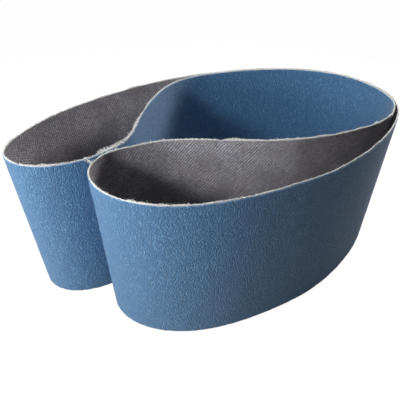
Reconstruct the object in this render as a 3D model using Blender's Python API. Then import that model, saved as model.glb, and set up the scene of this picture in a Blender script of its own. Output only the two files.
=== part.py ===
"""Sanding belt: an endless loop of abrasive cloth, stood on its edge and nested in itself."""

import math

import bmesh
import bpy
import numpy as np

# The belt as it is made
BELT_WIDTH = 0.100
BELT_LENGTH = 1.220  # round the loop, where the coat is bonded to the cloth
CLOTH_THICKNESS = 0.00055
COAT_THICKNESS = 0.00045
BARE_EDGE = 0.0004  # cloth that stands past the coat along both edges

# The slanted butt splice that makes the strip endless, taped on the cloth side
SPLICE_ANGLE = math.radians(65)  # between the cut and the belt's edge
SPLICE_GAP = 0.0003  # between the two butted ends, square to the cut
SPLICE_REACH = 0.105  # along the outer run, from where the nesting starts to the cut's middle
TAPE_WIDTH = 0.020
TAPE_THICKNESS = 0.00015
TAPE_INSET = 0.0008  # from the belt's edges to the tape's ends

# How close the runs of the loop lie
NEST_GAP = 0.0008  # cloth to cloth, between the outer run and the run nested in it
TOUCH_GAP = 0.0005  # coat to coat, where the fold leans on the left lobe

# Route of the bond line seen from above, (x, y) at the points that hold the loop in shape.
# It runs anticlockwise, so the cloth side is on its left, and the coat side on its right.
FRONT_WALL = [
    (-0.0417, -0.0912),
    (-0.0175, -0.0929),
    (0.0088, -0.0867),
    (0.0344, -0.0752),
    (0.0635, -0.0573),
    (0.0922, -0.0290),
    (0.1135, 0.0032),
]
NESTED_WALL = [  # the outer run's stretch round the right end, with the inner run inside it
    (0.1220, 0.0330),
    (0.1145, 0.0615),
    (0.0960, 0.0820),
    (0.0650, 0.0930),
    (0.0280, 0.0915),
    (-0.0100, 0.0800),
]
BACK_WALL = [
    (-0.0509, 0.0586),
    (-0.0866, 0.0272),
    (-0.1089, -0.0007),
    (-0.1211, -0.0290),
]
LEFT_LOBE = [
    (-0.1213, -0.0475),
    (-0.1120, -0.0575),
    (-0.0985, -0.0607),
    (-0.0780, -0.0547),
]
TOUCH_POINT = (-0.0640, -0.0437)  # on the left lobe, where the fold leans on it
S_CURVE = [
    (-0.0560, -0.0305),
    (-0.0523, -0.0030),
    (-0.0470, 0.0310),
    (-0.0339, 0.0608),
]
INNER_FRONT = [  # follows the inner run round the right end
    (0.1121, 0.0107),
    (0.0931, -0.0064),
    (0.0680, -0.0190),
    (0.0324, -0.0270),
    (-0.0052, -0.0276),
    (-0.0353, -0.0305),
    (-0.0520, -0.0378),
]
FOLD = [
    (-0.0702, -0.0595),
    (-0.0640, -0.0775),
]
NEST_STEP = 0.015  # between the points that keep the inner run parallel to the outer one

# Facets
FACET_LENGTH = 0.012  # longest flat on a straight stretch
FACET_TURN = math.radians(6)  # largest turn from one flat to the next
CURVE_SAMPLES = 6000  # for measuring the route
LENGTH_PASSES = 6  # for opening the route to the belt's length
HAIR = 1e-7  # heights closer than this are one point

# Finish: base colour and roughness
FINISHES = {
    "cloth_backing": ((0.30, 0.28, 0.31), 0.9),
    "abrasive_coat": ((0.07, 0.18, 0.36), 0.8),
    "splice_tape": ((0.62, 0.55, 0.42), 0.45),
}


class SpringyLoop:
    """A closed cubic spline: the shape of a springy strip between the points that hold it."""

    def __init__(self, points):
        self.points = np.array(points)
        count = len(self.points)
        ahead = np.roll(self.points, -1, axis=0) - self.points
        self.spans = np.linalg.norm(ahead, axis=1)
        self.knots = np.concatenate([[0], np.cumsum(self.spans)])
        slopes = ahead / self.spans[:, None]
        here = np.arange(count)
        behind = np.roll(self.spans, 1)
        matrix = np.zeros((count, count))
        matrix[here, here - 1] = behind
        matrix[here, here] = 2 * (behind + self.spans)
        matrix[here, (here + 1) % count] = self.spans
        self.bends = np.linalg.solve(matrix, 6 * (slopes - np.roll(slopes, 1, axis=0)))

    def _span(self, u):
        """The span that holds u, its length, and u's share of it from its end and from its start."""
        u = np.mod(u, self.knots[-1])
        i = np.clip(np.searchsorted(self.knots, u, side="right") - 1, 0, len(self.spans) - 1)
        length = self.spans[i][:, None]
        b = (u - self.knots[i])[:, None] / length
        return i, (i + 1) % len(self.spans), length, 1 - b, b

    def place(self, u):
        i, j, length, a, b = self._span(np.atleast_1d(u))
        bend = (a**3 - a) * self.bends[i] + (b**3 - b) * self.bends[j]
        return a * self.points[i] + b * self.points[j] + bend * length**2 / 6

    def inward(self, u):
        """Unit normals towards the cloth side, on the left of the route."""
        i, j, length, a, b = self._span(np.atleast_1d(u))
        bend = (3 * b**2 - 1) * self.bends[j] - (3 * a**2 - 1) * self.bends[i]
        slope = (self.points[j] - self.points[i]) / length + bend * length / 6
        slope /= np.linalg.norm(slope, axis=1)[:, None]
        return np.column_stack([-slope[:, 1], slope[:, 0]])

    def beside(self, u, depth):
        """Points that lie depth to the cloth side of the route."""
        return self.place(u) + self.inward(u) * depth

    def samples(self):
        """Evenly spread parameters, with the distance covered and the angle turned up to each."""
        u = np.linspace(0, self.knots[-1], CURVE_SAMPLES + 1)
        steps = np.linalg.norm(np.diff(self.place(u), axis=0), axis=1)
        normals = self.inward(u)
        turns = np.arccos(np.clip((normals[1:] * normals[:-1]).sum(axis=1), -1, 1))
        return u, np.append(0, np.cumsum(steps)), np.append(0, np.cumsum(turns))


def hold_points(spread):
    """All points that hold the loop, the free ones moved apart by spread.

    The inner run keeps its distance to the nested wall, and the fold to the touch point.
    """
    stretches = [FRONT_WALL, NESTED_WALL, BACK_WALL, LEFT_LOBE, [TOUCH_POINT], S_CURVE]
    outer = [np.multiply(stretch, spread) for stretch in stretches]
    nested_wall, touch_wall = outer[1], outer[4]
    inner_front = np.multiply(INNER_FRONT, spread)
    fold = np.multiply(FOLD, spread)

    # The outer walls have their shape before the runs that lie against them are placed.
    rough = SpringyLoop(np.vstack([*outer, nested_wall[:0:-1], inner_front, fold]))
    nest_first = len(FRONT_WALL)
    nest_last = nest_first + len(NESTED_WALL) - 1
    touch = nest_last + 1 + len(BACK_WALL) + len(LEFT_LOBE)
    start, end = rough.knots[nest_first], rough.knots[nest_last]
    count = math.ceil((end - start) / NEST_STEP) + 1
    nest_depth = 2 * CLOTH_THICKNESS + NEST_GAP
    inner_run = rough.beside(np.linspace(end, start, count), nest_depth)
    touch_depth = -(2 * COAT_THICKNESS + TOUCH_GAP)
    leaning = rough.beside(rough.knots[touch], touch_depth)
    return np.vstack([*outer, inner_run, inner_front, leaning, fold]), nest_first


def lay_loop():
    """The bond line at the belt's length, and the distance along it where the nesting starts."""
    spread = 1.0
    for _ in range(LENGTH_PASSES):
        points, nest_first = hold_points(spread)
        loop = SpringyLoop(points)
        u, distance, _ = loop.samples()
        spread *= BELT_LENGTH / distance[-1]
    return loop, np.interp(loop.knots[nest_first], u, distance)


class Strip:
    """A layer of the belt, flat on the bench: a band with both ends cut at the splice's slant.

    start and end are where its ends cross the middle of the belt's width, measured along the
    belt from the middle of the splice. near and far are the depths of its faces, measured from
    the bond line towards the cloth side.
    """

    def __init__(self, name, start, end, inset, near, far):
        self.name = name
        self.start, self.end = start, end
        self.low, self.high = inset, BELT_WIDTH - inset
        self.near, self.far = near, far

    @staticmethod
    def slant(height):
        """How far along the belt the cut has moved at a height."""
        return (height - BELT_WIDTH / 2) / math.tan(SPLICE_ANGLE)

    def corners(self):
        """Distances along the belt of the four corners."""
        return [end + self.slant(z) for end in (self.start, self.end) for z in (self.low, self.high)]

    def heights(self, along):
        """The lowest and the highest point of the layer at a distance along the belt."""
        rise = math.tan(SPLICE_ANGLE)
        bottom = max(self.low, BELT_WIDTH / 2 + (along - self.end) * rise)
        top = min(self.high, BELT_WIDTH / 2 + (along - self.start) * rise)
        return [bottom, top] if top - bottom > HAIR else [top]


def make_strips():
    """The belt's layers, from the coated side inwards."""
    half_gap = SPLICE_GAP / 2 / math.sin(SPLICE_ANGLE)
    half_tape = TAPE_WIDTH / 2 / math.sin(SPLICE_ANGLE)
    tail = BELT_LENGTH - half_gap
    tape_face = CLOTH_THICKNESS + TAPE_THICKNESS
    return [
        Strip("abrasive_coat", half_gap, tail, BARE_EDGE, 0, -COAT_THICKNESS),
        Strip("cloth_backing", half_gap, tail, 0, 0, CLOTH_THICKNESS),
        Strip("splice_tape", -half_tape, half_tape, TAPE_INSET, CLOTH_THICKNESS, tape_face),
    ]


class Stations:
    """Upright lines that all layers share, so that their faces meet flat on flat.

    along holds their distances from the middle of the splice, for one lap of the loop.
    """

    def __init__(self, strips):
        loop, nest_start = lay_loop()
        u, distance, turn = loop.samples()
        lap = distance[-1]
        splice = nest_start + SPLICE_REACH
        effort = distance / FACET_LENGTH + turn / FACET_TURN
        count = math.ceil(effort[-1])
        regular = np.interp(np.arange(count) * effort[-1] / count, effort, distance) - splice
        corners = np.array([corner for strip in strips for corner in strip.corners()])
        first = corners.min()
        laid = np.mod(np.concatenate([regular, corners]) - first, lap) + first
        self.along = np.unique(laid.round(9))
        self.lap = lap
        self.loop = loop
        self.u = np.interp(np.mod(self.along + splice, lap), distance, u)
        outside = loop.beside(self.u, -COAT_THICKNESS)
        self.centre = (outside.min(axis=0) + outside.max(axis=0)) / 2

    def plan(self, depth):
        """Points (x, y) of all stations at a depth, about the middle of the laid belt."""
        return self.loop.beside(self.u, depth) - self.centre

    def under(self, strip):
        """(station, distance along) for each station from one end of a strip to the other."""
        first, last = min(strip.corners()) - HAIR, max(strip.corners()) + HAIR
        for start_of_lap in (0, self.lap):
            for station, along in enumerate(self.along + start_of_lap):
                if first <= along <= last:
                    yield station, along


def paint(obj, colour, roughness):
    material = bpy.data.materials.new(obj.name)
    material.use_nodes = True
    shader = material.node_tree.nodes["Principled BSDF"]
    shader.inputs["Base Color"].default_value = (*colour, 1)
    shader.inputs["Roughness"].default_value = roughness
    shader.inputs["Metallic"].default_value = 0
    obj.data.materials.append(material)


def build_layer(strip, stations):
    """Stands a strip on its edge along the stations, and thickens it from near to far."""
    near, far = stations.plan(strip.near), stations.plan(strip.far)
    layer = bmesh.new()
    mark = layer.verts.layers.int.new("station")
    behind = None
    for station, along in stations.under(strip):
        upright = [layer.verts.new((*near[station], z)) for z in strip.heights(along)]
        for vert in upright:
            vert[mark] = station
        if behind:
            layer.faces.new(behind + upright[::-1])
        behind = upright
    grown = bmesh.ops.extrude_face_region(layer, geom=layer.faces[:])
    for vert in grown["geom"]:
        if isinstance(vert, bmesh.types.BMVert):
            vert.co.xy = far[vert[mark]]
    bmesh.ops.recalc_face_normals(layer, faces=layer.faces[:])

    mesh = bpy.data.meshes.new(strip.name)
    layer.to_mesh(mesh)
    layer.free()
    mesh.shade_smooth()
    mesh.set_sharp_from_angle(angle=math.radians(30))
    obj = bpy.data.objects.new(strip.name, mesh)
    bpy.context.scene.collection.objects.link(obj)
    return obj


def main():
    for obj in list(bpy.data.objects):
        bpy.data.objects.remove(obj)
    strips = make_strips()
    stations = Stations(strips)
    for strip in strips:
        paint(build_layer(strip, stations), *FINISHES[strip.name])


main()
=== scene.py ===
"""Looks of a sanding belt: blue abrasive cloth, stood on its edge and nested in itself.

Lengths are in metres. Distances along the belt run anticlockwise from the middle of its splice.
"""

import math
from collections import defaultdict

import bmesh
import bpy
import numpy as np
from mathutils import Matrix, Vector
from mathutils.kdtree import KDTree


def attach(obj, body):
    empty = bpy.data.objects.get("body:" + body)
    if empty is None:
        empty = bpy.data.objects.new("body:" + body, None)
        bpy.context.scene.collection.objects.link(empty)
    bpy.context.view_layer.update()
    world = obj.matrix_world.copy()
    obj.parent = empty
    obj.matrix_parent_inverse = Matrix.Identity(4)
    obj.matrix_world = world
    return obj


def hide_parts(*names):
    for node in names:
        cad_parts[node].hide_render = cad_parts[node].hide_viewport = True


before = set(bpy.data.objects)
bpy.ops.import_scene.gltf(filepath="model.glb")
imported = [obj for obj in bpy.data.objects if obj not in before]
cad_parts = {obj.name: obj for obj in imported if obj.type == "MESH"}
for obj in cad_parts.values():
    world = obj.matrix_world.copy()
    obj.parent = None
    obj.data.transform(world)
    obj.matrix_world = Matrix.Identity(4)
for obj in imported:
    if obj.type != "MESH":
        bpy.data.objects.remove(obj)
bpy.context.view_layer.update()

SEED = 41

# Camera, in the frame's axes
CAMERA_PLACE = (-0.00348, -0.24494, 0.21415)
CAMERA_PITCH = math.radians(42.74)  # below the horizon
CAMERA_ROLL = math.radians(1.0)
CAMERA_LENS = 36.164  # mm
CAMERA_SENSOR = 36  # mm wide
CAMERA_SHIFT = (-0.0330, 0.1163)
CAMERA_CLIP = 0.01

# Reading the bond line off the frame
SAME_PLACE = 1e-6
SHORTEST_SPAN = 0.002
UPRIGHT_FACE = 0.5  # largest height of its normal
ROUTE_SAMPLES = 12000

# Mesh of the layers
COLUMN_LENGTH = 0.00135  # longest step along the belt
COLUMN_TURN = math.radians(6)  # largest turn from one column to the next
COAT_ROW = 0.0014
CLOTH_ROW = 0.0022
TAPE_ROW = 0.004
BACK_ROWS = 12  # on a layer's hidden side
BORDER_ROWS = (0.0003, 0.0008, 0.0016)  # from a layer's edge, where it is rough
SPLICE_FADE = 0.12  # from the slanted cut to where the columns stand upright
HARD_EDGE = math.radians(50)  # least angle between faces that isn't shaded smooth

# Relief of the coat and of the cloth
GRAIN_RELIEF = 0.000035
LUMP_RELIEF = 0.00003
LUMP_PASSES = 6  # of smoothing
CHIP_DEPTH = 0.00018  # of the broken border of the coat
BORDER_THICKNESS = (0.35, 0.8)  # of the coat at that border, as shares of the whole
COAT_FREEBOARD = 0.0002  # least bare cloth above the coat
YARN_RELIEF = 0.000012
RIM_CROWN = 0.00008
RIM_SHARES = (0.4, 0.7, 0.9, 1.0)  # of the ragged edge's rise, in the rows below it

# Rise and fall of the raw cloth edges
RAGGED_STEP = 0.0006
RAGGED_FAST = 0.00009
RAGGED_SLOW = 0.00014
RAGGED_PASSES = 40  # of smoothing, for the slow part
SWELLS = [  # (distance along the belt, rise, reach), on the upper edge
    (-0.4585, -0.0007, 0.0020),
    (-0.4660, 0.0005, 0.0040),
    (-0.4870, -0.0003, 0.0060),
    (-0.5050, 0.0003, 0.0080),
    (-0.3305, 0.0003, 0.0020),
    (0.2732, 0.0003, 0.0030),
]

# Frayed threads along the edges: cut yarn ends, fine fibres and tufts. Girths and reaches are
# the smallest and largest share of a radius or reach, and a taper is the radius point by point.
STUB_STEP = 0.00028
STUB_RADIUS = 0.00012
STUB_GIRTHS = (0.7, 1.2)
STUB_REACH = 0.00018
STUB_REACHES = (0.1, 1.0)
STUB_TAPER = (1.0, 1.0, 0.6)
STUB_SIDES = 5
STUB_CURL = 0.5
FUZZ_STEP = 0.0007
FUZZ_RADIUS = 0.00004
FUZZ_GIRTHS = (0.7, 1.3)
FUZZ_REACH = 0.0008
FUZZ_TAPER = (1.0, 0.95, 0.85, 0.7, 0.35)
FUZZ_SIDES = 3
FUZZ_CURL = 0.7
TUFT_RADIUS = 0.00015
TUFT_GIRTHS = (0.6, 1.2)
TUFT_REACHES = (0.4, 1.0)
TUFTS = [  # (from, to) along the belt, threads, reach, lean to the cloth side; on the upper edge
    (-0.5860, -0.3990, 640, 0.0007, 0.0),
    (-0.5790, -0.5770, 18, 0.0010, 0.2),
    (-0.5640, -0.5610, 22, 0.0010, 0.2),
    (-0.5330, -0.5290, 24, 0.0009, 0.2),
    (-0.3560, -0.2600, 240, 0.0007, 0.0),
    (0.2450, 0.3040, 160, 0.0007, 0.0),
    (-0.3790, -0.3765, 14, 0.0024, -1.0),
    (-0.3320, -0.3290, 20, 0.0010, 0.3),
    (-0.3170, -0.3155, 12, 0.0009, 0.2),
    (-0.3990, -0.3900, 60, 0.0011, -0.3),
    (-0.4680, -0.4620, 26, 0.0010, 0.2),
    (-0.4920, -0.4880, 20, 0.0010, 0.0),
    (0.2670, 0.2745, 30, 0.0009, -0.2),
    (0.3040, 0.3225, 260, 0.0013, 0.6),
    (0.3225, 0.3560, 220, 0.0010, 0.4),
]
ROOT_DEPTH = 0.0003  # how far below the edge a thread starts
ROOT_SPREAD = (0.1, 0.9)  # where it starts in the cloth's thickness, as shares of that
LEAN_SPREAD = 0.5
UNALIGNED = (0.31, 0.84, 0.45)  # a direction that no thread keeps

# Pattern of the coat
GRAIN = (0.00085, 1.5)  # size of a grain, and how many times as tall as wide it is
FINE_GRAIN = (0.00048, 1.2)
FINE_CREST = 0.6  # height of the fine grains, where the large ones have 1
UNEVEN_GRAIN = 0.7  # how much higher the highest of the large grains stand
GRAIN_BUMP = 0.00030
COAT_COLOURS = [  # each grain has a random place from 0 to 1 on this scale
    (0.10, (0.041, 0.148, 0.320)),
    (0.50, (0.050, 0.180, 0.372)),
    (0.72, (0.060, 0.204, 0.410)),
    (0.90, (0.135, 0.305, 0.500)),
]
BLOTCH_SIZE = 0.008
BLOTCH_TINTS = [(0.3, (0.94, 0.94, 0.95)), (0.7, (1.0, 1.0, 1.0))]
TEAR_SIZE = 0.0009  # of the waves in the worn upper border
TEAR_REACH = 0.0012
WORN_BORDER = (0.0002, 0.0007)  # where wear starts and where it is full, from the coat's top
WORN_SHARE = 0.5
WORN_COLOUR = (0.50, 0.57, 0.62)

# Weave of the cloth
TWILL_YARN = 0.00078  # between the yarns along the belt
TWILL_PICK = 0.00065  # between the yarns across it
TWILL_HARNESS = 3
FLOAT_SHARE = 0.68  # of the repeat, where a yarn lies on top
FLOAT_HEIGHTS = (0.4, 1.3)
STRAY_SIZE = 0.008  # of the waves in the weave, which stray by some picks and yarns
STRAY_PICKS = 2.4
STRAY_YARNS = 1.2

# Pattern of the cloth
FLUFF_SIZE = 0.018
LEAST_TWILL = 0.35  # what is left of the weave's relief where the cloth is fluffy
LINT_SIZE = 0.0007
LINT_COLOURING = 0.7  # share of the lint in the colour, where the weave has 1
LINT_RELIEF = 0.6
CLOTH_BUMP = 0.00020
CLOTH_COLOURS = [(0.0, (0.160, 0.160, 0.186)), (1.0, (0.790, 0.790, 0.890))]
STAIN_SIZE = 0.03
STAIN_TINTS = [(0.3, (0.92, 0.89, 0.88)), (0.7, (1.0, 1.0, 1.0))]
MOTTLE_SIZE = 0.0024
MOTTLE_TINTS = [(0.3, (0.80, 0.80, 0.80)), (0.7, (1.0, 1.0, 1.0))]
# Painted shade: over this stretch the cloth's colour is tinted darker and browner, in place of a
# shadow
PAINTED_SHADE_STRETCH = (0.640, 0.716, 0.005)  # of the cloth: from, to, and how far it fades
PAINTED_SHADE_TINT = (0.74, 0.72, 0.70)
FRAY_SIZE = 0.0012  # of the waves in the border of the raw edges
FRAY_REACH = 0.0008
RAW_BORDER = (-0.0005, 0.0001)  # where it starts and where it is full, from the cloth's edge
RAW_COLOUR = (0.80, 0.81, 0.80)

# Threads and tape
CLEAN_YARN = ((0.85, 0.87, 0.87), (0.64, 0.56, 0.47))  # its palest and its brownest colour
SOILED_YARN = ((0.46, 0.43, 0.40), (0.26, 0.22, 0.19))
YARN_STRETCH = 0.012  # size of the brown stretches
YARN_SIZE = 0.0008
RIPPLE_SIZE = 0.0035
FILM_COLOURS = [(0.3, (0.53, 0.46, 0.34)), (0.7, (0.66, 0.59, 0.46))]

# Lights: bearing from the viewer's side (degrees, to the right), height above the horizon
# (degrees), distance, size, colour, and brightness of a white surface that faces the lamp
TARGET = (0.0, 0.0, 0.05)
LAMPS = {
    "key": (-45, 27, 0.45, 0.09, (1.00, 0.99, 0.97), 0.61),
    "left": (-57, 12, 0.60, 0.16, (1.00, 0.99, 0.96), 0.43),
    "back": (134, 27, 0.42, 0.12, (1.00, 0.96, 0.88), 0.83),
    "top": (0, 88, 1.50, 0.20, (1.00, 1.00, 1.00), 0.30),
}
AMBIENT = 0.01
FLOOR_SIZE = 6.0
FLOOR_GREY = 0.11  # share of its light that the floor throws back onto the belt
FLOOR_GLOW = 0.97  # of the floor as the camera sees it, apart from the light on it
FLOOR_SHADE = 0.06  # share of the light on the floor that the camera sees
FLOOR_SHUT_IN = 0.11  # how near the belt is where it dims the floor that its coat reflects


class Route:
    """The line where the coat is bonded to the cloth, seen from above.

    Distances run along it anticlockwise. Depths are measured from it towards the cloth side,
    which is on its left.
    """

    def __init__(self, stations):
        ahead = np.roll(stations, -1, axis=0) - stations
        spans = np.linalg.norm(ahead, axis=1)
        knots = np.concatenate([[0], np.cumsum(spans)])
        u = np.linspace(0, knots[-1], ROUTE_SAMPLES + 1)
        first = np.clip(np.searchsorted(knots, u, side="right") - 1, 0, len(spans) - 1)
        after = (first + 1) % len(spans)
        length = spans[first][:, None]
        b = (u - knots[first])[:, None] / length
        a = 1 - b
        bends = self.bends(ahead, spans)
        bend = (a**3 - a) * bends[first] + (b**3 - b) * bends[after]
        turn = (3 * b**2 - 1) * bends[after] - (3 * a**2 - 1) * bends[first]
        self.plan = a * stations[first] + b * stations[after] + bend * length**2 / 6
        slope = (stations[after] - stations[first]) / length + turn * length / 6
        slope /= np.linalg.norm(slope, axis=1)[:, None]
        self.inward = np.column_stack([-slope[:, 1], slope[:, 0]])
        steps = np.linalg.norm(np.diff(self.plan, axis=0), axis=1)
        self.along = np.append(0, np.cumsum(steps))
        self.lap = self.along[-1]

    @staticmethod
    def bends(ahead, spans):
        """Second derivatives of the closed cubic spline at its stations."""
        count = len(spans)
        here = np.arange(count)
        behind = np.roll(spans, 1)
        matrix = np.zeros((count, count))
        matrix[here, here - 1] = behind
        matrix[here, here] = 2 * (behind + spans)
        matrix[here, (here + 1) % count] = spans
        slopes = ahead / spans[:, None]
        return np.linalg.solve(matrix, 6 * (slopes - np.roll(slopes, 1, axis=0)))

    def read(self, table, along):
        return np.interp(along, self.along, table, period=self.lap)

    def place(self, along, depth, height):
        """Points in space for arrays of belt coordinates."""
        x = self.read(self.plan[:, 0], along) + self.read(self.inward[:, 0], along) * depth
        y = self.read(self.plan[:, 1], along) + self.read(self.inward[:, 1], along) * depth
        return np.stack(np.broadcast_arrays(x, y, height), axis=-1)

    def columns(self, start, end):
        """Distances from start to end, close enough together for the bends between them."""
        along = np.linspace(start, end, ROUTE_SAMPLES)
        normals = np.column_stack([self.read(self.inward[:, axis], along) for axis in (0, 1)])
        turns = np.linalg.norm(np.diff(normals, axis=0), axis=1)
        effort = (along - start) / COLUMN_LENGTH + np.append(0, np.cumsum(turns)) / COLUMN_TURN
        return np.interp(np.linspace(0, effort[-1], math.ceil(effort[-1]) + 1), effort, along)

    def from_zero(self, along):
        """The same places, counted both ways from zero."""
        return np.mod(along + self.lap / 2, self.lap) - self.lap / 2

    def measure(self, node):
        """Distance along the belt, depth and height of each corner of a node."""
        points = np.unique([v.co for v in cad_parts[node].data.vertices], axis=0)
        near = np.array([np.hypot(*(self.plan - point[:2]).T).argmin() for point in points])
        offset = points[:, :2] - self.plan[near]
        inward = self.inward[near]
        depth = (offset * inward).sum(axis=1)
        beyond = offset[:, 0] * inward[:, 1] - offset[:, 1] * inward[:, 0]
        return self.from_zero(self.along[near] + beyond), depth, points[:, 2]

    def zero_at(self, node):
        """Counts distances from the middle of a node."""
        along, _, _ = self.measure(node)
        beyond = self.from_zero(along - along[0])
        self.along -= along[0] + (beyond.min() + beyond.max()) / 2


def plan_tree(mesh):
    """The mesh's corners as seen from above, for finding those at the same place."""
    tree = KDTree(len(mesh.vertices))
    for vert in mesh.vertices:
        tree.insert((vert.co.x, vert.co.y, 0), vert.index)
    tree.balance()
    return tree


def walk_bond_line():
    """The corners (x, y) of the bond line in order, anticlockwise.

    They are the places where cloth and coat share a corner, and neighbours are those that an
    upright face of the cloth joins.
    """
    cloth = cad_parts["cloth_backing"].data
    cloth_tree = plan_tree(cloth)
    coat_tree = plan_tree(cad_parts["abrasive_coat"].data)
    station = {}
    for vert in cloth.vertices:
        flat = (vert.co.x, vert.co.y, 0)
        if coat_tree.find(flat)[2] < SAME_PLACE:
            station[vert.index] = min(i for _, i, _ in cloth_tree.find_range(flat, SAME_PLACE))
    beside = defaultdict(set)
    for face in cloth.polygons:
        ends = {station.get(i) for i in face.vertices}
        if abs(face.normal.z) < UPRIGHT_FACE and None not in ends and len(ends) == 2:
            one, other = ends
            beside[one].add(other)
            beside[other].add(one)

    walked = [min(beside)]
    here = min(beside[walked[0]])
    while here != walked[0]:
        behind = walked[-1]
        walked.append(here)
        here = next(i for i in sorted(beside[here]) if i != behind)
    corners = np.array([cloth.vertices[i].co.xy for i in walked])
    x, y = corners.T
    if (x * np.roll(y, -1) - y * np.roll(x, -1)).sum() < 0:
        corners = corners[::-1]
    kept = [corners[0]]
    for corner in corners[1:]:
        if min(np.linalg.norm(corner - kept[-1]), np.linalg.norm(corner - kept[0])) > SHORTEST_SPAN:
            kept.append(corner)
    return np.array(kept)


class Belt:
    """The belt's route and the sizes of its layers, as the frame's nodes have them."""

    def __init__(self):
        self.route = Route(walk_bond_line())
        self.route.zero_at("splice_tape")
        along, depth, height = self.route.measure("splice_tape")
        self.tape_low, self.tape_high = height.min(), height.max()
        top = along[height > self.tape_high - SAME_PLACE]
        bottom = along[height < self.tape_low + SAME_PLACE]
        self.slant_rate = (top.max() - bottom.max()) / (self.tape_high - self.tape_low)
        self.tape_half = (top.max() - top.min()) / 2
        self.tape_depth = depth.max()

        along, depth, height = self.route.measure("cloth_backing")
        self.width = height.max()
        self.cloth_depth = depth.max()
        self.half_gap = np.abs(along - self.slant(height)).min()

        _, depth, height = self.route.measure("abrasive_coat")
        self.coat_depth = depth.min()
        self.coat_low, self.coat_high = height.min(), height.max()

    def slant(self, height):
        """How far along the belt the splice's cut has moved at a height."""
        return (height - self.width / 2) * self.slant_rate

    def strip_columns(self):
        """Distances of the columns of a whole layer, from one cut end to the other."""
        return self.route.columns(self.half_gap, self.route.lap - self.half_gap)

    def lean_columns(self, columns, heights):
        """Distances of all points of the columns, which lean like the splice's cut near it."""
        near_end = np.minimum(columns, self.route.lap - columns) / SPLICE_FADE
        upright = np.clip(near_end, 0, 1)
        lean = 1 - upright**2 * (3 - 2 * upright)
        return columns[:, None] + self.slant(heights) * lean[:, None]


def rows_between(low, high, step):
    """Heights from low to high, with the border rows near both."""
    inner = np.linspace(low + BORDER_ROWS[-1], high - BORDER_ROWS[-1], round((high - low) / step))
    border = np.array(BORDER_ROWS[:-1])
    return np.concatenate([[low], low + border, inner, (high - border)[::-1], [high]])


def down_the_back(top, bottom):
    """Heights of the points on a layer's hidden side, from its top to its bottom."""
    return top + (bottom - top) * np.linspace(0, 1, BACK_ROWS)


def smooth_noise(rng, shape, passes):
    """Random values of spread 1, each averaged with its neighbours a number of times."""
    noise = rng.standard_normal(shape)
    for _ in range(passes):
        for axis in range(len(shape)):
            noise = (np.roll(noise, 1, axis) + 2 * noise + np.roll(noise, -1, axis)) / 4
    return noise / noise.std()


def make_object(name, points, faces, unrolled):
    """A smooth-shaded mesh piece, with its places on the flat belt, in metres, as UV map."""
    mesh = bpy.data.meshes.new(name)
    mesh.from_pydata(points.tolist(), [], faces)
    corners = np.zeros(len(mesh.loops), np.int32)
    mesh.loops.foreach_get("vertex_index", corners)
    uv_map = mesh.uv_layers.new(name="flat_belt")
    uv_map.data.foreach_set("uv", unrolled[corners].astype(np.float32).ravel())
    shape = bmesh.new()
    shape.from_mesh(mesh)
    bmesh.ops.recalc_face_normals(shape, faces=shape.faces[:])
    shape.to_mesh(mesh)
    shape.free()
    mesh.shade_smooth()
    mesh.set_sharp_from_angle(angle=HARD_EDGE)
    obj = bpy.data.objects.new(name, mesh)
    bpy.context.scene.collection.objects.link(obj)
    return obj


class RaggedEdge:
    """How far a raw edge of the cloth lies above its plain line, all along the belt."""

    def __init__(self, rng, swells=()):
        lap = belt.route.lap
        self.along = np.arange(0, lap, RAGGED_STEP)
        fast = smooth_noise(rng, self.along.shape, 1)
        slow = smooth_noise(rng, self.along.shape, RAGGED_PASSES)
        self.rises = RAGGED_FAST * fast + RAGGED_SLOW * slow
        for place, rise, reach in swells:
            apart = belt.route.from_zero(self.along - place)
            self.rises += rise * np.exp(-((apart / reach) ** 2))

    def rise(self, along):
        return np.interp(along, self.along, self.rises, period=belt.route.lap)


def sweep(name, along, depth, height):
    """A closed layer: each column is a ring of points, and both ends have a face."""
    columns, ring = height.shape
    points = belt.route.place(along, depth, height).reshape(-1, 3)
    index = np.arange(columns * ring).reshape(columns, ring)
    here, ahead = index[:-1], index[1:]
    sides = [here, ahead, np.roll(ahead, -1, axis=1), np.roll(here, -1, axis=1)]
    faces = np.stack(sides, axis=-1).reshape(-1, 4).tolist()
    faces += [index[0].tolist(), index[-1].tolist()]
    unrolled = np.column_stack([along.ravel(), height.ravel()])
    return make_object(name, points, faces, unrolled)


def make_coat(rng, upper):
    """The grain coat: lumpy, with a broken border along both edges."""
    rows = rows_between(belt.coat_low, belt.coat_high, COAT_ROW)
    columns = belt.strip_columns()
    shape = (len(columns), len(rows))
    grain = GRAIN_RELIEF * rng.standard_normal(shape)
    grain += LUMP_RELIEF * smooth_noise(rng, shape, LUMP_PASSES)
    chips = CHIP_DEPTH * np.abs(smooth_noise(rng, (len(columns), 2), 1))
    height = np.tile(rows, (len(columns), 1))
    height[:, :2] += chips[:, :1]
    height[:, -2:] -= chips[:, 1:]
    bare = belt.width + upper.rise(columns)[:, None] - COAT_FREEBOARD
    height = np.minimum(height, bare - (belt.coat_high - height) / 2)
    depth = belt.coat_depth + grain
    for row in (0, -1):
        depth[:, row] = belt.coat_depth * rng.uniform(*BORDER_THICKNESS, len(columns))
    height = np.hstack([height, down_the_back(height[:, -1:], height[:, :1])])
    depth = np.hstack([depth, np.zeros((len(columns), BACK_ROWS))])
    return sweep("blue_grain_coat", belt.lean_columns(columns, height), depth, height)


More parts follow.
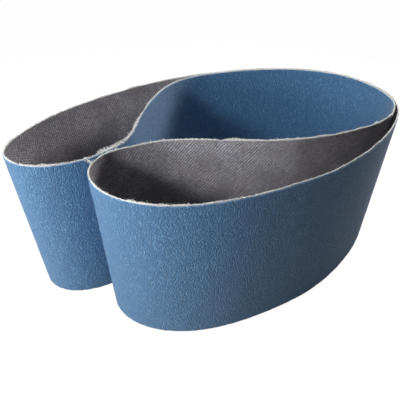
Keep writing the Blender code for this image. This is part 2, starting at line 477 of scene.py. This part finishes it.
def make_cloth(rng, upper, lower):
    """The cloth: a little uneven, with raw edges that rise and fall yarn by yarn."""
    rows = rows_between(0, belt.width, CLOTH_ROW)
    columns = belt.strip_columns()
    shape = (len(columns), len(rows))
    face = np.tile(rows, (len(columns), 1))
    face_depth = belt.cloth_depth + YARN_RELIEF * smooth_noise(rng, shape, 1)
    foot = np.abs(lower.rise(columns))[:, None]
    crest = belt.width + upper.rise(columns)[:, None]
    face[:, :1] = foot + BORDER_ROWS[0] / 2
    face[:, -len(RIM_SHARES) :] += (crest - belt.width) * np.array(RIM_SHARES)
    face[:, -1:] -= BORDER_ROWS[0] / 2
    middle = np.full((len(columns), 1), belt.cloth_depth / 2)
    bare = np.zeros((len(columns), BACK_ROWS))
    height = np.hstack([face, crest + RIM_CROWN, down_the_back(crest, foot + RIM_CROWN), foot])
    depth = np.hstack([face_depth, middle, bare, middle])
    return sweep("twill_cloth", belt.lean_columns(columns, height), depth, height)


def make_tape(rng):
    """The splice's tape: a film that the weave shows through."""
    rows = rows_between(belt.tape_low, belt.tape_high, TAPE_ROW)
    columns = belt.route.columns(-belt.tape_half, belt.tape_half)
    shape = (len(columns), len(rows))
    height = np.tile(rows, (len(columns), 1))
    depth = belt.tape_depth + YARN_RELIEF * smooth_noise(rng, shape, 2)
    height = np.hstack([height, down_the_back(height[:, -1:], height[:, :1])])
    under = np.full((len(columns), BACK_ROWS), belt.cloth_depth - 2 * YARN_RELIEF)
    depth = np.hstack([depth, under])
    return sweep("splice_film", columns[:, None] + belt.slant(height), depth, height)


def make_threads(name, paths, radii, roots, sides):
    """Thin tubes along paths of points, all of one length, in one mesh."""
    threads, steps, _ = paths.shape
    tangent = np.gradient(paths, axis=1)
    tangent /= np.linalg.norm(tangent, axis=2, keepdims=True)
    across = np.cross(tangent, UNALIGNED)
    across /= np.linalg.norm(across, axis=2, keepdims=True)
    upward = np.cross(across, tangent)
    turn = np.linspace(0, 2 * math.pi, sides, endpoint=False)
    ring = across[:, :, None] * np.cos(turn)[:, None] + upward[:, :, None] * np.sin(turn)[:, None]
    points = (paths[:, :, None] + ring * radii[:, :, None, None]).reshape(-1, 3)
    index = np.arange(threads * steps * sides).reshape(threads, steps, sides)
    here, ahead = index[:, :-1], index[:, 1:]
    walls = [here, ahead, np.roll(ahead, -1, axis=2), np.roll(here, -1, axis=2)]
    faces = np.stack(walls, axis=-1).reshape(-1, 4).tolist()
    faces += index[:, 0].tolist() + index[:, -1].tolist()
    unrolled = np.repeat(roots, steps * sides, axis=0)
    return make_object(name, points, faces, unrolled)


def lay_threads(rng, along, edge, rise, reach, leaning, steps, curl):
    """Paths of threads that leave an edge at height edge, and rise from it (1) or hang (-1)."""
    count = len(along)
    share = np.linspace(0, 1, steps)
    lean = rng.normal(0, LEAN_SPREAD, (count, 2)) + np.column_stack([0 * leaning, leaning])
    bend = rng.normal(0, curl, (count, 2))
    depth = rng.uniform(*ROOT_SPREAD, count) * belt.cloth_depth
    forward = along[:, None] + reach[:, None] * (lean[:, :1] * share + bend[:, :1] * share**2)
    sideways = depth[:, None] + reach[:, None] * (lean[:, 1:] * share + bend[:, 1:] * share**2)
    height = edge[:, None] + rise * (reach[:, None] * share - ROOT_DEPTH)
    return belt.route.place(forward, sideways, height), np.column_stack([along, edge])


def make_yarns(rng, name, line, rise):
    """Cut yarn ends along the upper edge (rise 1) or the lower one (rise -1)."""
    spots = np.arange(0, belt.route.lap, STUB_STEP)
    along = spots + rng.uniform(-0.5, 0.5, len(spots)) * STUB_STEP
    edge = belt.width + line.rise(along) if rise > 0 else np.abs(line.rise(along))
    reach = ROOT_DEPTH + STUB_REACH * rng.uniform(*STUB_REACHES, len(spots))
    points = len(STUB_TAPER)
    paths, roots = lay_threads(rng, along, edge, rise, reach, 0 * along, points, STUB_CURL)
    radii = STUB_RADIUS * rng.uniform(*STUB_GIRTHS, (len(spots), 1)) * np.array(STUB_TAPER)
    paths[..., 2] = np.maximum(paths[..., 2], radii)
    return make_threads(name, paths, radii, roots, STUB_SIDES)


def make_fuzz(rng, line):
    """Fine loose fibres and thicker tufts on the upper edge."""
    spots = np.arange(0, belt.route.lap, FUZZ_STEP)
    along = [spots + rng.uniform(-0.5, 0.5, len(spots)) * FUZZ_STEP]
    reach = [ROOT_DEPTH + FUZZ_REACH * rng.uniform(0, 1, len(spots)) ** 2]
    radii = [FUZZ_RADIUS * rng.uniform(*FUZZ_GIRTHS, len(spots))]
    leaning = [np.zeros(len(spots))]
    for start, end, threads, length, lean in TUFTS:
        along.append(rng.uniform(start, end, threads))
        reach.append(length * rng.uniform(*TUFT_REACHES, threads))
        radii.append(TUFT_RADIUS * rng.uniform(*TUFT_GIRTHS, threads))
        leaning.append(np.full(threads, lean))
    along, reach, radii, leaning = map(np.concatenate, (along, reach, radii, leaning))
    edge = belt.width + line.rise(along)
    points = len(FUZZ_TAPER)
    paths, roots = lay_threads(rng, along, edge, 1, reach, leaning, points, FUZZ_CURL)
    radii = radii[:, None] * np.array(FUZZ_TAPER)
    return make_threads("upper_edge_fuzz", paths, radii, roots, FUZZ_SIDES)


class Shader:
    """A material's nodes, made one by one around its Principled BSDF."""

    def __init__(self, name, roughness, **uniform):
        self.material = bpy.data.materials.new(name)
        self.material.use_nodes = True
        self.tree = self.material.node_tree
        self.surface = self.tree.nodes["Principled BSDF"]
        self.surface.inputs["Roughness"].default_value = roughness
        for socket, value in uniform.items():
            self.surface.inputs[socket.replace("_", " ")].default_value = value
        self.flat = self.node("ShaderNodeUVMap", uv_map="flat_belt").outputs["UV"]
        parts = self.node("ShaderNodeSeparateXYZ", {"Vector": self.flat})
        self.along, self.up = parts.outputs[:2]

    def node(self, kind, inputs=None, **settings):
        made = self.tree.nodes.new(kind)
        for name, value in settings.items():
            setattr(made, name, value)
        for name, value in (inputs or {}).items():
            self.feed(made.inputs[name], value)
        return made

    def feed(self, socket, value):
        if isinstance(value, bpy.types.NodeSocket):
            self.tree.links.new(value, socket)
        else:
            socket.default_value = value

    def sums(self, operation, *values):
        """The result of one operation on numbers or other nodes' values."""
        made = self.node("ShaderNodeMath", operation=operation)
        for socket, value in zip(made.inputs, values):
            self.feed(socket, value)
        return made.outputs[0]

    def noise(self, size, detail=2.0):
        inputs = {"Vector": self.flat, "Scale": 1 / size, "Detail": detail}
        return self.node("ShaderNodeTexNoise", inputs, noise_dimensions="2D").outputs["Fac"]

    def grains(self, size, tallness=1.0):
        """Cells of a size: a random value for each, and the distance from its middle."""
        squeeze = (1, 1 / tallness, 1)
        squeezed = self.node("ShaderNodeMapping", {"Vector": self.flat, "Scale": squeeze})
        inputs = {"Vector": squeezed.outputs[0], "Scale": 1 / size}
        cells = self.node("ShaderNodeTexVoronoi", inputs, voronoi_dimensions="2D")
        value = self.node("ShaderNodeSeparateColor", {"Color": cells.outputs["Color"]}).outputs[0]
        return value, cells.outputs["Distance"]

    def ramp(self, factor, stops):
        made = self.node("ShaderNodeValToRGB", {"Fac": factor})
        elements = made.color_ramp.elements
        for _ in stops[2:]:
            elements.new(0.5)
        for element, (position, colour) in zip(elements, stops):
            element.position = position
            element.color = (*colour, 1)
        return made.outputs["Color"]

    def mix(self, factor, a, b, blend_type="MIX"):
        made = self.node("ShaderNodeMix", data_type="RGBA", blend_type=blend_type)
        sockets = {socket.identifier: socket for socket in made.inputs}
        for name, value in (("Factor_Float", factor), ("A_Color", a), ("B_Color", b)):
            self.feed(sockets[name], (*value, 1) if isinstance(value, tuple) else value)
        return next(s for s in made.outputs if s.identifier == "Result_Color")

    def tint(self, colour, factor, stops):
        """A colour multiplied by the one that a ramp has for a factor."""
        return self.mix(1.0, colour, self.ramp(factor, stops), "MULTIPLY")

    def spread(self, value, low, high, to_low=0.0, to_high=1.0):
        """A value between low and high, moved to the range from to_low to to_high."""
        inputs = {"Value": value, "From Min": low, "From Max": high}
        inputs |= {"To Min": to_low, "To Max": to_high}
        return self.node("ShaderNodeMapRange", inputs, clamp=True).outputs[0]

    def bump(self, height, strength, distance):
        inputs = {"Height": height, "Strength": strength, "Distance": distance}
        return self.node("ShaderNodeBump", inputs).outputs["Normal"]

    def finish(self, colour, normal):
        self.feed(self.surface.inputs["Base Color"], colour)
        self.feed(self.surface.inputs["Normal"], normal)
        return self.material


def coat_material():
    """Blue resin over sharp grains: pale crests, dark hollows and a matt, slightly dusty sheen."""
    shader = Shader(
        "blue_grain",
        roughness=0.65,
        Specular_IOR_Level=0.6,
        Specular_Tint=(1.0, 0.93, 0.84, 1.0),
        Sheen_Weight=0.31,
        Sheen_Roughness=0.5,
    )
    value, distance = shader.grains(*GRAIN)
    fine_value, fine_distance = shader.grains(*FINE_GRAIN)
    tone = shader.sums("MULTIPLY_ADD", value, 0.5, shader.sums("MULTIPLY", fine_value, 0.5))
    colour = shader.ramp(tone, COAT_COLOURS)
    colour = shader.tint(colour, shader.noise(BLOTCH_SIZE, detail=3.0), BLOTCH_TINTS)
    torn = shader.sums("MULTIPLY_ADD", shader.noise(TEAR_SIZE), TEAR_REACH, shader.up)
    start, end = (belt.coat_high + beyond for beyond in WORN_BORDER)
    worn = shader.spread(torn, start, end, to_high=WORN_SHARE)
    colour = shader.mix(worn, colour, WORN_COLOUR)
    crest = shader.sums("SUBTRACT", 1.0, distance)
    fine_crest = shader.sums("MULTIPLY", shader.sums("SUBTRACT", 1.0, fine_distance), FINE_CREST)
    large = shader.sums("MULTIPLY_ADD", value, UNEVEN_GRAIN, crest)
    height = shader.sums("ADD", large, fine_crest)
    return shader.finish(colour, shader.bump(height, 0.9, GRAIN_BUMP))


def weave(shader):
    """Height of the twill: yarns along the belt, which pass over two picks and under one.

    Each yarn's float starts one pick further than its neighbour's, which makes slanted lines,
    and no two floats stand equally high.
    """
    stray = shader.sums("SUBTRACT", shader.noise(STRAY_SIZE, detail=3.0), 0.5)
    along = shader.sums("MULTIPLY_ADD", stray, STRAY_PICKS * TWILL_PICK, shader.along)
    up = shader.sums("MULTIPLY_ADD", stray, STRAY_YARNS * TWILL_YARN, shader.up)
    yarns = shader.sums("DIVIDE", up, TWILL_YARN)
    row = shader.sums("FLOOR", yarns)
    across = shader.sums("MULTIPLY", shader.sums("SUBTRACT", yarns, row), math.pi)
    floats = shader.sums("DIVIDE", along, TWILL_HARNESS * TWILL_PICK)
    floats = shader.sums("MULTIPLY_ADD", row, 1 / TWILL_HARNESS, floats)
    arch = shader.spread(shader.sums("FRACT", floats), 0.0, FLOAT_SHARE, 0.0, math.pi)
    crown = shader.sums("MULTIPLY", shader.sums("SINE", across), shader.sums("SINE", arch))
    float_place = shader.node("ShaderNodeCombineXYZ", {"X": shader.sums("FLOOR", floats), "Y": row})
    each = shader.node("ShaderNodeTexWhiteNoise", {"Vector": float_place.outputs[0]})
    lowest, highest = FLOAT_HEIGHTS
    tallness = shader.sums("MULTIPLY_ADD", each.outputs["Value"], highest - lowest, lowest)
    return shader.sums("MULTIPLY", crown, tallness)


def cloth_material():
    """Grey twill with a violet tint, fluffy in places, whose raw edges are pale."""
    shader = Shader("grey_twill", roughness=0.92, Specular_IOR_Level=0.2)
    fluffy = shader.spread(shader.noise(FLUFF_SIZE), 0.35, 0.65, LEAST_TWILL, 1.0)
    twill = shader.sums("MULTIPLY", weave(shader), fluffy)
    lint = shader.noise(LINT_SIZE, detail=3.0)
    tone = shader.spread(shader.sums("MULTIPLY_ADD", lint, LINT_COLOURING, twill), 0.20, 1.15)
    ground = shader.ramp(tone, CLOTH_COLOURS)
    ground = shader.tint(ground, shader.noise(STAIN_SIZE, detail=3.0), STAIN_TINTS)
    ground = shader.tint(ground, shader.noise(MOTTLE_SIZE), MOTTLE_TINTS)
    # Painted shade: along one stretch of the belt the cloth's colour is tinted darker and browner,
    # standing in for a shadow
    start, end, fade = PAINTED_SHADE_STRETCH
    dirt_and_painted_shade = shader.sums(
        "MULTIPLY",
        shader.spread(shader.along, start - fade, start + fade),
        shader.spread(shader.along, end + fade, end - fade),
    )
    ground = shader.mix(dirt_and_painted_shade, ground, shader.mix(1.0, ground, PAINTED_SHADE_TINT, "MULTIPLY"))
    from_middle = shader.sums("ABSOLUTE", shader.sums("SUBTRACT", shader.up, belt.width / 2))
    reach = shader.sums("MULTIPLY_ADD", shader.noise(FRAY_SIZE), FRAY_REACH, from_middle)
    start, end = (belt.width / 2 + beyond for beyond in RAW_BORDER)
    colour = shader.mix(shader.spread(reach, start, end), ground, RAW_COLOUR)
    height = shader.sums("MULTIPLY_ADD", lint, LINT_RELIEF, twill)
    return shader.finish(colour, shader.bump(height, 0.8, CLOTH_BUMP))


def thread_material(name, pale, brown):
    """Raw yarn, pale, with browner stretches."""
    shader = Shader(name, roughness=0.95, Specular_IOR_Level=0.2, Sheen_Weight=0.2)
    stretch = shader.noise(YARN_STRETCH)
    each = shader.noise(YARN_SIZE, detail=1.0)
    tone = shader.spread(shader.sums("MULTIPLY_ADD", each, 0.6, stretch), 0.80, 1.20)
    return shader.finish(shader.mix(tone, pale, brown), shader.bump(each, 0.2, 0.0001))


def film_material():
    """A thin satin film, tinted by the adhesive under it."""
    shader = Shader("satin_film", roughness=0.42, Specular_IOR_Level=0.5)
    ripple = shader.noise(RIPPLE_SIZE, detail=3.0)
    return shader.finish(shader.ramp(ripple, FILM_COLOURS), shader.bump(ripple, 0.3, 0.0003))


def dress():
    """All pieces of the belt, in place of the frame's nodes."""
    rng = np.random.default_rng(SEED)
    upper_line = RaggedEdge(rng, SWELLS)
    lower_line = RaggedEdge(rng)
    coat = make_coat(rng, upper_line)
    cloth = make_cloth(rng, upper_line, lower_line)
    tape = make_tape(rng)
    upper = make_yarns(rng, "upper_edge_yarns", upper_line, 1)
    lower = make_yarns(rng, "lower_edge_yarns", lower_line, -1)
    fuzz = make_fuzz(rng, upper_line)
    clean = thread_material("raw_yarn", *CLEAN_YARN)
    dirt_and_painted_shade = thread_material("soiled_yarn", *SOILED_YARN)
    finishes = [
        (coat, coat_material(), "abrasive_coat"),
        (cloth, cloth_material(), "cloth_backing"),
        (tape, film_material(), "splice_tape"),
        (upper, clean, "cloth_backing"),
        (fuzz, clean, "cloth_backing"),
        (lower, dirt_and_painted_shade, "cloth_backing"),
    ]
    for piece, material, slot in finishes:
        piece.data.materials.append(material)
        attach(piece, "root")
    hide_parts("abrasive_coat")
    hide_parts("cloth_backing")
    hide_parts("splice_tape")


def show_white(tree, seen, unseen):
    """Mixes two shaders: one for what the camera or a reflection sees, one for light and shade."""
    path = tree.nodes.new("ShaderNodeLightPath")
    rays = [path.outputs[f"Is {kind} Ray"] for kind in ("Camera", "Glossy", "Transmission")]
    either = rays[0]
    for ray in rays[1:]:
        larger = tree.nodes.new("ShaderNodeMath")
        larger.operation = "MAXIMUM"
        tree.links.new(either, larger.inputs[0])
        tree.links.new(ray, larger.inputs[1])
        either = larger.outputs[0]
    mix = tree.nodes.new("ShaderNodeMixShader")
    tree.links.new(either, mix.inputs[0])
    tree.links.new(unseen, mix.inputs[1])
    tree.links.new(seen, mix.inputs[2])
    return mix.outputs[0]


def grey(level):
    return (level, level, level, 1)


def make_floor():
    """A plain white floor that keeps a faint shadow of the belt.

    Close to the belt, reflections of the floor are dimmer, because its walls shut the light out.
    """
    bpy.ops.mesh.primitive_plane_add(size=FLOOR_SIZE)
    floor = bpy.context.object
    floor.name = "floor"
    material = bpy.data.materials.new("white_floor")
    material.use_nodes = True
    tree = material.node_tree
    tree.nodes.clear()
    bounce = tree.nodes.new("ShaderNodeBsdfDiffuse")
    bounce.inputs["Color"].default_value = grey(FLOOR_GREY)
    shade = tree.nodes.new("ShaderNodeBsdfDiffuse")
    shade.inputs["Color"].default_value = grey(FLOOR_SHADE)
    openness = tree.nodes.new("ShaderNodeAmbientOcclusion")
    openness.inputs["Distance"].default_value = FLOOR_SHUT_IN
    path = tree.nodes.new("ShaderNodeLightPath")
    brightness = tree.nodes.new("ShaderNodeMath")
    brightness.operation = "MAXIMUM"
    tree.links.new(openness.outputs["AO"], brightness.inputs[0])
    tree.links.new(path.outputs["Is Camera Ray"], brightness.inputs[1])
    glow = tree.nodes.new("ShaderNodeEmission")
    glow.inputs["Color"].default_value = grey(FLOOR_GLOW)
    tree.links.new(brightness.outputs[0], glow.inputs["Strength"])
    seen = tree.nodes.new("ShaderNodeAddShader")
    tree.links.new(shade.outputs[0], seen.inputs[0])
    tree.links.new(glow.outputs[0], seen.inputs[1])
    output = tree.nodes.new("ShaderNodeOutputMaterial")
    tree.links.new(show_white(tree, seen.outputs[0], bounce.outputs[0]), output.inputs["Surface"])
    floor.data.materials.append(material)


def make_world():
    """An even dome of light, white where it is seen."""
    world = bpy.data.worlds.new("studio")
    world.use_nodes = True
    bpy.context.scene.world = world
    tree = world.node_tree
    tree.nodes.clear()
    dome = tree.nodes.new("ShaderNodeBackground")
    dome.inputs["Strength"].default_value = AMBIENT
    backdrop = tree.nodes.new("ShaderNodeBackground")
    for background in (dome, backdrop):
        background.inputs["Color"].default_value = grey(1)
    output = tree.nodes.new("ShaderNodeOutputWorld")
    tree.links.new(show_white(tree, backdrop.outputs[0], dome.outputs[0]), output.inputs["Surface"])


def make_lamp(name, bearing, rise, distance, size, colour, brightness):
    """A round soft lamp; a lamp of brightness 1 shows a white surface that faces it as white."""
    light = bpy.data.lights.new(name, "AREA")
    light.shape = "DISK"
    light.size = size
    light.color = colour
    light.energy = brightness * (math.pi * distance) ** 2
    lamp = bpy.data.objects.new(name, light)
    lamp.visible_camera = False
    bearing, rise = math.radians(bearing), math.radians(rise)
    level = math.cos(rise)
    towards = Vector((level * math.sin(bearing), -level * math.cos(bearing), math.sin(rise)))
    lamp.location = Vector(TARGET) + towards * distance
    lamp.rotation_euler = towards.to_track_quat("Z", "Y").to_euler()
    bpy.context.scene.collection.objects.link(lamp)


def make_camera():
    data = bpy.data.cameras.new("camera")
    data.sensor_width = CAMERA_SENSOR
    data.lens = CAMERA_LENS
    data.shift_x, data.shift_y = CAMERA_SHIFT
    data.clip_start = CAMERA_CLIP
    camera = bpy.data.objects.new("camera", data)
    tilt = Matrix.Rotation(math.pi / 2 - CAMERA_PITCH, 4, "X")
    roll = Matrix.Rotation(CAMERA_ROLL, 4, "Z")
    camera.matrix_world = Matrix.Translation(CAMERA_PLACE) @ tilt @ roll
    bpy.context.scene.collection.objects.link(camera)
    bpy.context.scene.camera = camera


belt = Belt()
dress()
make_floor()
make_world()
for name, settings in LAMPS.items():
    make_lamp(name, *settings)
make_camera()
bpy.context.scene.view_settings.view_transform = "Standard"

bpy.context.view_layer.update()
